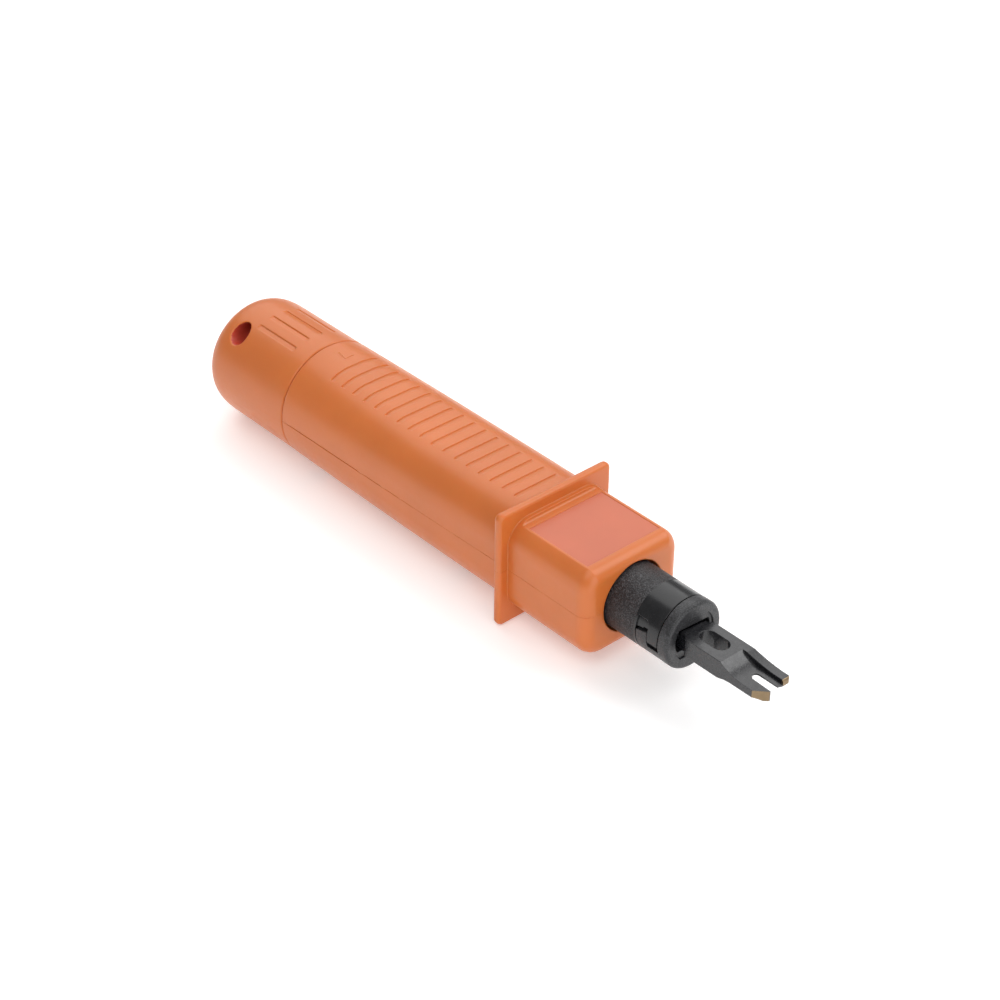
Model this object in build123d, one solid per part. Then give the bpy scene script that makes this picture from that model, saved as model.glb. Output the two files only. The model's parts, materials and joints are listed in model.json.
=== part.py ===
"""Impact punch down tool: a split plastic handle with a spring driven hammer,
a sprung barrel, a turning end cap that sets the force, and a forked blade.

Everything is drawn in tool coordinates, in millimetres: the tool axis is X, the
blade points to +X, and the rear face of the hand flange is at x = 0. Each piece
is moved on export, so that the origin is the bottom centre of the whole tool.
"""
import os
from math import cos, pi, radians, sin, sqrt

from build123d import *

# ---- outside of the casing ----
FLANGE_HALF_Y, FLANGE_HALF_Z = 15.0, 13.4
FLANGE_T = 1.9
FLANGE_CORNER_R, FLANGE_EDGE_R = 1.4, 0.8
NOSE_HALF_Y, NOSE_HALF_Z = 12.75, 10.8
NOSE_CORNER_R, NOSE_FRONT_R = 5.4, 2.9
NOSE_FRONT = 24.3
PANEL_Z = 10.05                 # flat label area on top of the nose
PANEL_STEP_X, PANEL_STEP_R, PANEL_REAR = 2.85, 0.6, 4.7
PANEL_SINK, PANEL_HALF_Y = 0.12, 9.7
BODY_LEN = 69.9
BODY_SPAN = 70.0
# half width, half height and corner radius at the flange, mid length and cap end
BODY_HALF_Y = (12.7, 13.3, 13.6)
BODY_HALF_Z = (11.9, 11.9, 13.6)
BODY_CORNER_R = (8.2, 9.3, 13.5)
BODY_SECTIONS = 5

# ---- grip ribs, cut as one sided wedges in the top and the underside ----
RIB_COUNT = 17
RIB_FIRST, RIB_LAST = -61.15, -4.1
RIB_LEN, RIB_DEPTH = 1.2, 0.25
RIB_HALF_Y = (5.6, 6.4)         # at the flange end and at the cap end
RIB_MID_Y = -0.4

# ---- end cap ----
CAP_R = 13.6
CAP_FACE = -70.05
CAP_STRAIGHT, CAP_LEN = 18.7, 29.2
CAP_POWER_X, CAP_POWER_R = 4.7, 3.6
FLUTE_ANGLES = (-25.0, -9.5, 6.0, 21.5)     # of each flute's upright wall, from the top
FLUTE_START, FLUTE_END = -87.7, -75.0
FLUTE_W, FLUTE_DEPTH = 1.15, 0.3
LANYARD_X, LANYARD_R = -90.6, 2.25
LANYARD_AT, LANYARD_TILT = 40.3, 12.0       # mouth's angle from the top, and fall of the hole
NECK_R, NECK_GROOVE_R, NECK_FRONT = 7.2, 6.2, -63.7
NECK_GROOVE = (-68.2, -66.4)
SKIRT_INNER_R, BOSS_R, POCKET_REAR = 11.6, 7.8, -86.0
SEAL_X, SEAL_R, SEAL_WIRE_R = -65.1, 6.79, 0.45

# ---- running clearance between moving pieces, on the radius ----
RUN = 0.06

# ---- force adjuster ----
SCREW_R, SCREW_FRONT = 3.0, -51.0
SCREW_HEAD = (-76.0, -72.0)
SCREW_HEAD_AF = 8.0
NUT = (-62.0, -58.0)
NUT_TRAVEL = 3.0
NUT_EAR_Y, NUT_EAR_HALF_Z = 9.6, 2.0
WASHER_T = 0.8
WASHER_R = 7.6

# ---- hammer and sear ----
STROKE = 9.5
HAMMER = (-36.5, -22.6)
HAMMER_R = 8.0
HAMMER_BORE_R, HAMMER_BORE_DEPTH = 3.2, 9.0
HAMMER_TRACK_HALF_Y, HAMMER_TRACK_Z = 2.1, 5.9
SEAR = (-26.35, -24.35)
SEAR_HALF_Y, SEAR_BOTTOM, SEAR_TOP = 4.0, -4.8, 7.6
SEAR_SHIFT = 1.4
SEAR_SLOT_BOTTOM, SEAR_GAP = -7.2, 0.05
RAMP_HALF_Y, RAMP_TOP, RAMP_GAP = 2.0, 9.2, 0.05
RAMP = (-37.0, -23.0)

# ---- springs: mean coil radius, wire radius, turns ----
MAIN_SPRING = (6.45, 0.75, 5.0)
RETURN_SPRING = (5.6, 0.45, 6.0)
SEAR_SPRING = (0.78, 0.2, 4.0)

# ---- barrel group ----
BARREL_R, BARREL_REAR, BARREL_FRONT = 7.35, -3.2, 38.15
SHOULDER_R, SHOULDER_FRONT = 8.6, -1.25
BUMPER_INNER_R, BUMPER_T = 7.46, 1.2
BARREL_BORE_R, BARREL_BORE_REAR = 5.65, 8.0
ROD_R, ROD_REAR, ROD_FRONT = 3.0, -24.3, 8.0
PIN_X, PIN_R, PIN_HALF = 4.0, 1.0, 7.2
HOLDER_R, HOLDER_REAR, HOLDER_FRONT = 5.6, 8.05, 37.9
CHANNEL_REAR = 11.6
BLADE_GAP = 0.06
COLLAR_R, COLLAR_REAR, COLLAR_FRONT = 7.4, 38.35, 40.9
COLLAR_EDGE_R = 0.8
SLOT_OUTER_R, SLOT_OUTER_FLAT, SLOT_STEP = 5.3, 4.0, 0.35
SLOT_INNER_R, SLOT_INNER_FLAT, SLOT_INNER_TURN = 4.6, 2.5, -4.0
LUG_GAP = 0.1
LUG_HEAD = (32.35, 35.4)        # bayonet window in the barrel wall, along X
LUG_BOTTOM = -5.0
WINDOW_TOPS = (1.3, -1.1)       # of the window's head, and of its neck towards the collar
LUG_TOPS = (0.8, -2.2)          # of the collar's own lug inside the window
RECESS_TOP, RECESS_DEPTH = 3.2, 0.3

# ---- web, bores and chambers inside the casing ----
MOUTH_R, MOUTH_DEPTH = 7.8, 3.0
CHAMBER_REAR, SPRING_CHAMBER_R = -13.2, 6.8
WEB = (-22.0, -20.0)
SHELL_RING = (-68.1, -66.5)
NUT_CHAMBER_REAR = -62.4
EAR_SLOT = (-62.3, -54.6)

# ---- casing screws: x, y and z of the head seat ----
SCREW_SPOTS = ((-16.6, 8.6, -8.5), (-64.3, 8.4, -8.0))
SELFTAP_R, SELFTAP_TOP = 0.8, 7.0
SELFTAP_HEAD_R, SELFTAP_HEAD_H = 1.6, 1.0
SELFTAP_RECESS_R, SELFTAP_FIT = 1.8, 0.02
CROSS_SIZE = (2.0, 0.45, 1.0)

# ---- blade: reversible, the same fork at both ends ----
BLADE_MID, BLADE_HALF_LEN = 37.1, 25.0
BLADE_HALF_Y, BLADE_HALF_Z = 3.96, 2.07
WAIST_HALF_Y, WAIST_HALF_X = 3.05, 4.25              # narrower waist at mid length
NOTCH_HALF_X, NOTCH_Z = 3.2, 1.4                     # lowered top at the waist
EYE_START, EYE_END, EYE_HALF_Y = 5.75, 12.5, 1.8     # oval hole, from mid length
# x from mid length and z, where the top turns
RAMP_TOP_EDGE, RAMP_FOOT, FORK_TIP_Z = 14.1, (15.6, 0.56), 0.14
RAIL_FOOT, RAIL_TIP_Z = (16.5, 0.93), 0.97
RAIL_INNER_Y, RAIL_GROOVE_Y, RAIL_GROOVE_DEPTH = 2.0, 1.6, 0.25
SLOT_REAR, SLOT_MID_Y, SLOT_HALF_Y = 19.55, -0.45, 0.9
# x, y and z where the edges below turn: corners taken off the sides, relief under the slot
CORNER_X, CORNER_Z, CORNER_Y = (13.6, 15.5, 17.2), (-2.07, -1.53, -1.25), 2.4
RELIEF_Z, RELIEF_X, RELIEF_SLOPE = 0.0, 17.0, 0.333
TOE_X, TOE_Z = 23.6, -0.5                            # end of the rail prong, raised below
BEVEL_LEN = 2.3                                      # oblique cut of the cutting prong

# ---- leaf spring that holds the blade ----
LATCH_HALF_Y, LATCH_T = 1.25, 0.4
LATCH_SLOT = (14.0, 34.0)
LATCH_SLOT_HALF_Y, LATCH_SLOT_TOP = 1.4, 4.2
LATCH_ROOT_Z, LATCH_END_Z, LATCH_SHOULDER_Z, LATCH_BUMP_Z = 3.3, 3.4, 2.4, 1.0

# ---- own frame ----
CAP_TIP = -BODY_SPAN - CAP_LEN
BLADE_TIP = BLADE_MID + BLADE_HALF_LEN
AXIS_HEIGHT = CAP_R
SHIFT = (-(CAP_TIP + BLADE_TIP) / 2, 0, AXIS_HEIGHT)


def box(x, y, z):
    """Box between pairs of limits along X, Y and Z."""
    size = [b - a for a, b in (x, y, z)]
    middle = [(a + b) / 2 for a, b in (x, y, z)]
    return Pos(*middle) * Box(*size)


def rod(radius, x, y=0, z=0):
    """Cylinder along X between a pair of limits."""
    return Pos((x[0] + x[1]) / 2, y, z) * Rot(0, 90, 0) * Cylinder(radius, x[1] - x[0])


def tube(outer, inner, x):
    """Ring along X."""
    return rod(outer, x) - rod(inner, (x[0] - 1, x[1] + 1))


def across(x):
    """Drawing plane square to the tool axis, with its own x along Y."""
    return Plane(origin=(x, 0, 0), x_dir=(0, 1, 0), z_dir=(1, 0, 0))


def swept_y(points, half_y):
    """Prism through the given x, z corners, from -half_y to +half_y."""
    outline = Polyline(*[(x, 0, z) for x, z in points], close=True)
    return extrude(make_face(outline), amount=half_y, dir=(0, 1, 0), both=True)


def coil(mean_r, wire_r, turns, start, end):
    """Helical spring along X whose wire stays between start and end."""
    length = end - start - 2 * wire_r
    path = Helix(pitch=length / turns, height=length, radius=mean_r)
    wire = sweep(Plane(origin=path @ 0, z_dir=path % 0) * Circle(wire_r), path=path)
    return Pos(start + wire_r, 0, 0) * Rot(0, 90, 0) * wire


def blend(values, x):
    """Value at x from the ones at the flange, mid length and cap end."""
    s = -x / BODY_SPAN
    weights = (2 * (s - 0.5) * (s - 1), -4 * s * (s - 1), 2 * s * (s - 0.5))
    return sum(v * w for v, w in zip(values, weights))


def body_section(x, inset=0.0):
    """Rounded section of the grip at x, optionally smaller all round."""
    half_y = blend(BODY_HALF_Y, x) - inset
    half_z = blend(BODY_HALF_Z, x) - inset
    corner = min(blend(BODY_CORNER_R, x) - inset, half_y - 0.05, half_z - 0.05)
    return across(x) * RectangleRounded(2 * half_y, 2 * half_z, corner)


def grip_body():
    step = BODY_LEN / (BODY_SECTIONS - 1)
    return loft([body_section(-i * step) for i in range(BODY_SECTIONS)])


def rib_cutters():
    """Wedges that start at full depth on the cap side and rise to the surface."""
    pitch = (RIB_LAST - RIB_FIRST) / (RIB_COUNT - 1)
    cutters = []
    for i in range(RIB_COUNT):
        x = RIB_FIRST + i * pitch
        share = i / (RIB_COUNT - 1)
        half_y = RIB_HALF_Y[1] + (RIB_HALF_Y[0] - RIB_HALF_Y[1]) * share
        floor = loft([body_section(x, RIB_DEPTH), body_section(x + RIB_LEN)], ruled=True)
        for side in (1, -1):
            z = sorted((side * 7.0, side * 15.0))
            wide = (RIB_MID_Y - half_y, RIB_MID_Y + half_y)
            cutters.append(box((x, x + RIB_LEN), wide, z) - floor)
    return cutters


def flange():
    plate = extrude(across(0) * RectangleRounded(
        2 * FLANGE_HALF_Y, 2 * FLANGE_HALF_Z, FLANGE_CORNER_R), FLANGE_T)
    ends = plate.faces().sort_by(Axis.X)
    return fillet(ends[0].edges() + ends[-1].edges(), FLANGE_EDGE_R)


def nose():
    """Square nose: rounded section, rounded front and a lower flat on top."""
    back = FLANGE_T - 0.5
    section = extrude(across(back) * RectangleRounded(
        2 * NOSE_HALF_Y, 2 * NOSE_HALF_Z, NOSE_CORNER_R), NOSE_FRONT - back)
    r = NOSE_FRONT_R
    corner, step_corner = (radius * (1 - cos(pi / 4)) for radius in (r, PANEL_STEP_R))
    side = Wire([
        Line((back, 0, NOSE_HALF_Z), (PANEL_STEP_X, 0, NOSE_HALF_Z)),
        Line((PANEL_STEP_X, 0, NOSE_HALF_Z), (PANEL_STEP_X, 0, PANEL_Z + PANEL_STEP_R)),
        ThreePointArc((PANEL_STEP_X, 0, PANEL_Z + PANEL_STEP_R),
                      (PANEL_STEP_X + step_corner, 0, PANEL_Z + step_corner),
                      (PANEL_STEP_X + PANEL_STEP_R, 0, PANEL_Z)),
        Line((PANEL_STEP_X + PANEL_STEP_R, 0, PANEL_Z), (NOSE_FRONT - r, 0, PANEL_Z)),
        ThreePointArc((NOSE_FRONT - r, 0, PANEL_Z), (NOSE_FRONT - corner, 0, PANEL_Z - corner),
                      (NOSE_FRONT, 0, PANEL_Z - r)),
        Line((NOSE_FRONT, 0, PANEL_Z - r), (NOSE_FRONT, 0, r - NOSE_HALF_Z)),
        ThreePointArc((NOSE_FRONT, 0, r - NOSE_HALF_Z),
                      (NOSE_FRONT - corner, 0, corner - NOSE_HALF_Z),
                      (NOSE_FRONT - r, 0, -NOSE_HALF_Z)),
        Line((NOSE_FRONT - r, 0, -NOSE_HALF_Z), (back, 0, -NOSE_HALF_Z)),
        Line((back, 0, -NOSE_HALF_Z), (back, 0, NOSE_HALF_Z)),
    ])
    side_view = extrude(make_face(side), amount=NOSE_HALF_Y + 1, dir=(0, 1, 0), both=True)
    length = 2 * (NOSE_FRONT - back)
    plan = extrude(Pos(back, 0, -NOSE_HALF_Z - 1) * RectangleRounded(
        length, 2 * NOSE_HALF_Y, r), 2 * NOSE_HALF_Z + 2)
    block = section & side_view & plan
    sunk = box((PANEL_REAR, NOSE_FRONT - r - 0.2), (-PANEL_HALF_Y, PANEL_HALF_Y),
               (PANEL_Z - PANEL_SINK, NOSE_HALF_Z + 1))
    return block - sunk


def casing_bores():
    """Every chamber and bore that the moving pieces run in."""
    return [
        rod(MOUTH_R, (NOSE_FRONT - MOUTH_DEPTH, NOSE_FRONT + 1)),
        rod(BARREL_R + RUN, (-0.1, NOSE_FRONT)),
        rod(SHOULDER_R + RUN, (CHAMBER_REAR, 0)),
        rod(SPRING_CHAMBER_R, (WEB[1], CHAMBER_REAR + 1)),
        rod(ROD_R + RUN, (WEB[0] - 1, WEB[1] + 1)),
        rod(HAMMER_R + RUN, (NUT_CHAMBER_REAR, WEB[0])),
        rod(NECK_R + RUN, (-BODY_LEN - 1, NUT_CHAMBER_REAR + 1)) - tube(
            NECK_R + 1, NECK_GROOVE_R + RUN, SHELL_RING),
        box(EAR_SLOT, (-NUT_EAR_Y - RUN, NUT_EAR_Y + RUN),
            (-NUT_EAR_HALF_Z - RUN, NUT_EAR_HALF_Z + RUN)),
        box(RAMP, (-RAMP_HALF_Y, RAMP_HALF_Y), (0, RAMP_TOP)),
    ]


def screw_positions():
    return [(x, side * y, z) for x, y, z in SCREW_SPOTS for side in (1, -1)]


def post(radius, x, y, z):
    """Upright cylinder at x, y between a pair of heights."""
    return Pos(x, y, (z[0] + z[1]) / 2) * Cylinder(radius, z[1] - z[0])


def casing_halves():
    casing = grip_body() + flange() + nose()
    for cutter in rib_cutters() + casing_bores():
        casing -= cutter
    for x, y, seat in screw_positions():
        casing -= post(SELFTAP_R + SELFTAP_FIT, x, y, (seat, SELFTAP_TOP))
        casing -= post(SELFTAP_RECESS_R, x, y, (-20, seat))
    everywhere = (-120, 120)
    upper = casing & box(everywhere, everywhere, (0, 40))
    lower = casing & box(everywhere, everywhere, (-40, 0))
    return upper, lower


def selftapping_screws():
    screws = []
    for x, y, seat in screw_positions():
        head = (seat - SELFTAP_HEAD_H, seat)
        screw = post(SELFTAP_R, x, y, (seat, SELFTAP_TOP)) + post(SELFTAP_HEAD_R, x, y, head)
        for turn in (0, 90):
            screw -= Pos(x, y, head[0]) * Rot(0, 0, turn) * Box(*CROSS_SIZE)
        screws.append(screw)
    return Compound(children=screws)


def cap_outline():
    """Half section of the dome: a superellipse behind a straight skirt."""
    points = []
    steps = 18
    for i in range(steps + 1):
        t = i / steps * pi / 2
        along = sin(t) ** (2 / CAP_POWER_X)
        x = -BODY_SPAN - CAP_STRAIGHT - (CAP_LEN - CAP_STRAIGHT) * along
        points.append((x, 0, CAP_R * cos(t) ** (2 / CAP_POWER_R) if i < steps else 0))
    return points


def flute():
    """Wedge along the top: an upright wall, and a floor that rises away from it to -Y."""
    corners = ((0, CAP_R - FLUTE_DEPTH), (0, CAP_R + 1), (-FLUTE_W, CAP_R + 1),
               (-FLUTE_W, sqrt(CAP_R ** 2 - FLUTE_W ** 2)))
    outline = Polyline(*[(FLUTE_START, y, z) for y, z in corners], close=True)
    return extrude(make_face(outline), amount=FLUTE_END - FLUTE_START, dir=(1, 0, 0))


def lanyard_hole():
    """Straight hole through the dome that falls towards +Y."""
    mouth = radians(LANYARD_AT)
    to_middle = CAP_R * sin(mouth + radians(LANYARD_TILT))
    y = to_middle * cos(radians(LANYARD_TILT)) - CAP_R * sin(mouth)
    z = CAP_R * cos(mouth) - to_middle * sin(radians(LANYARD_TILT))
    return Pos(LANYARD_X, y, z) * Rot(90 - LANYARD_TILT, 0, 0) * Cylinder(LANYARD_R, 60)


def tail_cap():
    curve = cap_outline()
    start = (CAP_FACE, 0, CAP_R)
    profile = Wire([
        Line((CAP_FACE, 0, 0), start),
        Line(start, curve[0]),
        Spline(*curve, tangents=[(-1, 0, 0), (0, 0, -1)]),
        Line(curve[-1], (CAP_FACE, 0, 0)),
    ])
    cap = revolve(make_face(profile), Axis.X, 360)
    cap += rod(NECK_R, (CAP_FACE - 1, NECK_FRONT))
    cap -= tube(NECK_R + 1, NECK_GROOVE_R, NECK_GROOVE)
    cap -= tube(SKIRT_INNER_R, BOSS_R, (POCKET_REAR, CAP_FACE))
    for angle in FLUTE_ANGLES:
        for half_turn in (0, 180):
            cap -= Rot(angle + half_turn, 0, 0) * flute()
    cap -= lanyard_hole()
    cap -= rod(SCREW_R, (SCREW_HEAD[1] - 0.1, NECK_FRONT + 1)) + screw_head()
    return cap - seal_ring()


def seal_ring():
    return Pos(SEAL_X, 0, 0) * Rot(0, 90, 0) * Torus(SEAL_R, SEAL_WIRE_R)


def screw_head():
    hexagon = across(SCREW_HEAD[0]) * RegularPolygon(SCREW_HEAD_AF / 2, 6, major_radius=False)
    return extrude(hexagon, SCREW_HEAD[1] - SCREW_HEAD[0])


def adjuster_screw():
    return screw_head() + rod(SCREW_R, (SCREW_HEAD[1] - 0.1, SCREW_FRONT))


def adjuster_nut():
    nut = rod(HAMMER_R, NUT)
    nut += box(NUT, (-NUT_EAR_Y, NUT_EAR_Y), (-NUT_EAR_HALF_Z, NUT_EAR_HALF_Z))
    return nut - rod(SCREW_R + RUN, (NUT[0] - 1, NUT[1] + 1))


def hammer():
    body = rod(HAMMER_R, HAMMER)
    body -= rod(HAMMER_BORE_R, (HAMMER[1] - HAMMER_BORE_DEPTH, HAMMER[1] + 1))
    slot_y = SEAR_HALF_Y + SEAR_GAP
    body -= box((SEAR[0] - SEAR_GAP, SEAR[1] + SEAR_GAP), (-slot_y, slot_y),
                (SEAR_SLOT_BOTTOM, HAMMER_R + 1))
    track = (-HAMMER_TRACK_HALF_Y, HAMMER_TRACK_HALF_Y)
    return body - box((HAMMER[0] - 1, HAMMER[1] + 1), track, (HAMMER_TRACK_Z, HAMMER_R + 1))


def sear():
    """Cross plate whose hole is off centre until the ramp pushes it down."""
    plate = box(SEAR, (-SEAR_HALF_Y, SEAR_HALF_Y), (SEAR_BOTTOM, HAMMER_TRACK_Z - SEAR_SHIFT))
    plate += box(SEAR, (-RAMP_HALF_Y, RAMP_HALF_Y), (0, SEAR_TOP))
    return plate - rod(HAMMER_BORE_R, (SEAR[0] - 1, SEAR[1] + 1), z=SEAR_SHIFT)


def sear_ramp():
    """Wedge in the upper shell: the sear's top follows it down as the hammer retreats."""
    slope = SEAR_SHIFT / STROKE

    def under(x):
        return SEAR_TOP + RAMP_GAP + slope * (x - SEAR[0])

    corners = [(RAMP[0], under(RAMP[0])), (RAMP[1], under(RAMP[1])),
               (RAMP[1], RAMP_TOP), (RAMP[0], RAMP_TOP)]
    return swept_y(corners, RAMP_HALF_Y)


def sear_spring():
    spring = coil(*SEAR_SPRING, SEAR_SLOT_BOTTOM, SEAR_BOTTOM)
    middle = (SEAR[0] + SEAR[1]) / 2
    return Pos(middle, 0, 0) * Rot(0, -90, 0) * spring


def plunger_rod():
    return rod(ROD_R, (ROD_REAR, ROD_FRONT)) - barrel_pin()


def barrel_pin():
    return Pos(PIN_X, 0, 0) * Rot(90, 0, 0) * Cylinder(PIN_R, 2 * PIN_HALF)


def bayonet(gap, tops):
    """Head and neck of the bayonet opening, or of the smaller lug that sits in it."""
    side = (-20, 0)
    head = box((LUG_HEAD[0] + gap, LUG_HEAD[1] - gap), side, (LUG_BOTTOM + gap, tops[0]))
    neck = box((LUG_HEAD[0] + gap, COLLAR_REAR + 0.1), side, (LUG_BOTTOM + gap, tops[1]))
    return head + neck


def both_sides(shape):
    return shape + Rot(180, 0, 0) * shape


def barrel_sleeve():
    sleeve = rod(BARREL_R, (BARREL_REAR, BARREL_FRONT))
    sleeve += rod(SHOULDER_R, (BARREL_REAR, SHOULDER_FRONT))
    sleeve -= rod(BARREL_BORE_R, (BARREL_BORE_REAR, BARREL_FRONT + 1))
    sleeve -= rod(ROD_R, (BARREL_REAR - 1, BARREL_BORE_REAR + 1))
    sleeve -= both_sides(bayonet(0, WINDOW_TOPS))
    recess = box(LUG_HEAD, (-20, 0), (0, RECESS_TOP)) - rod(BARREL_R - RECESS_DEPTH, LUG_HEAD)
    return sleeve - barrel_pin() - both_sides(recess)


def double_d(radius, flat, x):
    return rod(radius, x) & box(x, (-radius, radius), (-flat, flat))


def barrel_collar():
    ring = rod(COLLAR_R, (COLLAR_REAR, COLLAR_FRONT))
    ring = fillet(ring.edges().sort_by(Axis.X)[-1], COLLAR_EDGE_R)
    slot = double_d(SLOT_INNER_R, SLOT_INNER_FLAT, (COLLAR_REAR - 1, COLLAR_FRONT + 1))
    ring -= Rot(SLOT_INNER_TURN, 0, 0) * slot
    ring -= double_d(SLOT_OUTER_R, SLOT_OUTER_FLAT, (COLLAR_FRONT - SLOT_STEP, COLLAR_FRONT + 1))
    wall = tube(BARREL_R - 0.02, BARREL_BORE_R + 0.02, (LUG_HEAD[0], COLLAR_REAR + 0.05))
    return ring + (wall & both_sides(bayonet(LUG_GAP, LUG_TOPS)))


def bumper_ring():
    return tube(SHOULDER_R, BUMPER_INNER_R, (-BUMPER_T, 0))


def blade_holder():
    holder = rod(HOLDER_R, (HOLDER_REAR, HOLDER_FRONT))
    half_y, half_z = BLADE_HALF_Y + BLADE_GAP, BLADE_HALF_Z + BLADE_GAP
    holder -= box((CHANNEL_REAR, HOLDER_FRONT + 1), (-half_y, half_y), (-half_z, half_z))
    return holder - box(LATCH_SLOT, (-LATCH_SLOT_HALF_Y, LATCH_SLOT_HALF_Y), (0, LATCH_SLOT_TOP))


def blade_latch():
    """Leaf spring with a bump that drops into the hidden oval hole of the blade."""
    bump = BLADE_MID - (EYE_START + EYE_END) / 2
    line = [(LATCH_SLOT[0], LATCH_ROOT_Z), (bump - 5, LATCH_ROOT_Z - 0.2),
            (bump - 2, LATCH_SHOULDER_Z), (bump - 0.7, LATCH_BUMP_Z),
            (bump + 0.7, LATCH_BUMP_Z), (bump + 2, LATCH_SHOULDER_Z),
            (bump + 4.5, LATCH_END_Z)]
    over = [(x, z + LATCH_T) for x, z in reversed(line)]
    return swept_y(line + over, LATCH_HALF_Y)


def above(foot, tip_z):
    """Everything over the line that falls from the ramp's top edge to a foot and a tip."""
    line = [(RAMP_TOP_EDGE, BLADE_HALF_Z), foot, (BLADE_HALF_LEN + 1, tip_z)]
    corners = line + [(BLADE_HALF_LEN + 1, 4), (RAMP_TOP_EDGE, 4)]
    return swept_y(corners, 2 * BLADE_HALF_Y)


def fork_end():
    """Front half of the blade, drawn from mid length, with the cutting prong at -Y."""
    end = BLADE_HALF_LEN
    solid = box((0, end), (-BLADE_HALF_Y, BLADE_HALF_Y), (-BLADE_HALF_Z, BLADE_HALF_Z))
    solid -= above(RAIL_FOOT, RAIL_TIP_Z)
    fork_side = box((0, end + 2), (-5, RAIL_INNER_Y), (-3, 4))
    solid -= above(RAMP_FOOT, FORK_TIP_Z) & fork_side
    groove = box((RAMP_TOP_EDGE + 1, end + 2), (RAIL_GROOVE_Y, RAIL_INNER_Y), (-3, 4))
    solid -= Pos(0, 0, -RAIL_GROOVE_DEPTH) * above(RAMP_FOOT, FORK_TIP_Z) & groove
    eye = extrude(Pos((EYE_START + EYE_END) / 2, 0, -3) * SlotOverall(
        EYE_END - EYE_START, 2 * EYE_HALF_Y), 6)
    slot_y = (SLOT_MID_Y - SLOT_HALF_Y, SLOT_MID_Y + SLOT_HALF_Y)
    slot = box((SLOT_REAR + SLOT_HALF_Y, end + 1), slot_y, (-3, 3))
    slot += Pos(SLOT_REAR + SLOT_HALF_Y, SLOT_MID_Y, 0) * Cylinder(SLOT_HALF_Y, 6)
    solid = solid - eye - slot - waist()
    for cutter in under_cuts():
        solid -= cutter
    return solid


def along_x(corners, start, end):
    """Bar along X with the outline given by its y and z corners."""
    outline = Polyline(*[(start, y, z) for y, z in corners], close=True)
    return extrude(make_face(outline), amount=end - start, dir=(1, 0, 0))


def under_cuts():
    """What is taken off below the fork: both lower corners, the slot's relief and the toe."""
    end, low = BLADE_HALF_LEN + 1, -4
    rise = list(zip(CORNER_X, CORNER_Z)) + [(end, CORNER_Z[-1])]
    below = swept_y(rise + [(end, low), (CORNER_X[0], low)], 2 * BLADE_HALF_Y)
    cuts = []
    for side in (1, -1):
        corner = [(side * BLADE_HALF_Y, CORNER_Z[-1]), (side * CORNER_Y, -BLADE_HALF_Z),
                  (side * CORNER_Y, low), (side * (BLADE_HALF_Y + 1), low),
                  (side * (BLADE_HALF_Y + 1), CORNER_Z[-1])]
        cuts.append(below & along_x(corner, CORNER_X[0] - 1, end))
    left, right = SLOT_MID_Y - SLOT_HALF_Y, SLOT_MID_Y + SLOT_HALF_Y
    outer = BLADE_HALF_Y + 1
    across = [(left, RELIEF_Z), (right, RELIEF_Z),
              (outer, RELIEF_Z - RELIEF_SLOPE * (outer - right)), (outer, low), (left, low)]
    ramp = [(RELIEF_X, -BLADE_HALF_Z), (SLOT_REAR, RELIEF_Z), (end, RELIEF_Z), (end, low),
            (RELIEF_X, low)]
    cuts.append(swept_y(ramp, 2 * BLADE_HALF_Y) & along_x(across, RELIEF_X - 1, end))
    toe = [(TOE_X, CORNER_Z[-1]), (BLADE_HALF_LEN, TOE_Z), (end, TOE_Z), (end, low), (TOE_X, low)]
    cuts.append(swept_y(toe, 2 * BLADE_HALF_Y) & box((0, end), (right, outer), (low, 0)))
    return cuts


def waist():
    """Narrower and lower middle of the blade, with 45 degree shoulders at its sides."""
    depth = BLADE_HALF_Y - WAIST_HALF_Y + 1
    cutters = [box((-1, NOTCH_HALF_X), (-5, 5), (NOTCH_Z, 3))]
    for side in (1, -1):
        outline = Polyline((-1, side * WAIST_HALF_Y, -4), (WAIST_HALF_X, side * WAIST_HALF_Y, -4),
                           (WAIST_HALF_X + depth, side * (WAIST_HALF_Y + depth), -4),
                           (-1, side * (WAIST_HALF_Y + depth), -4), close=True)
        cutters.append(extrude(make_face(outline), amount=8, dir=(0, 0, 1)))
    return cutters[0] + cutters[1] + cutters[2]


def cutting_bevel():
    """Wedge that takes the outer corner off the cutting prong, at 45 degrees."""
    end = BLADE_HALF_LEN
    outline = Polyline((end - BEVEL_LEN, -BLADE_HALF_Y, -4), (end - BEVEL_LEN - 1, -6, -4),
                       (end + 2, -6, -4), (end + 2, BEVEL_LEN + 2 - BLADE_HALF_Y, -4), close=True)
    return extrude(make_face(outline), amount=8, dir=(0, 0, 1))


def blade():
    """Both ends carry the fork. Only the front one is ground to a cutting edge."""
    front = fork_end() - cutting_bevel()
    rear = Rot(0, 0, 180) * fork_end()
    return Pos(BLADE_MID, 0, 0) * (front + rear)


def nut_washer():
    return tube(WASHER_R, SCREW_R + 0.3, (NUT[1], NUT[1] + WASHER_T))


def web_washer():
    return tube(SPRING_CHAMBER_R - 0.1, ROD_R + 0.1, (WEB[1], WEB[1] + WASHER_T))


def export(name, shape):
    shape = Pos(*SHIFT) * shape
    shape.label = name
    export_step(shape, os.path.join("parts", name + ".step"))


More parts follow.
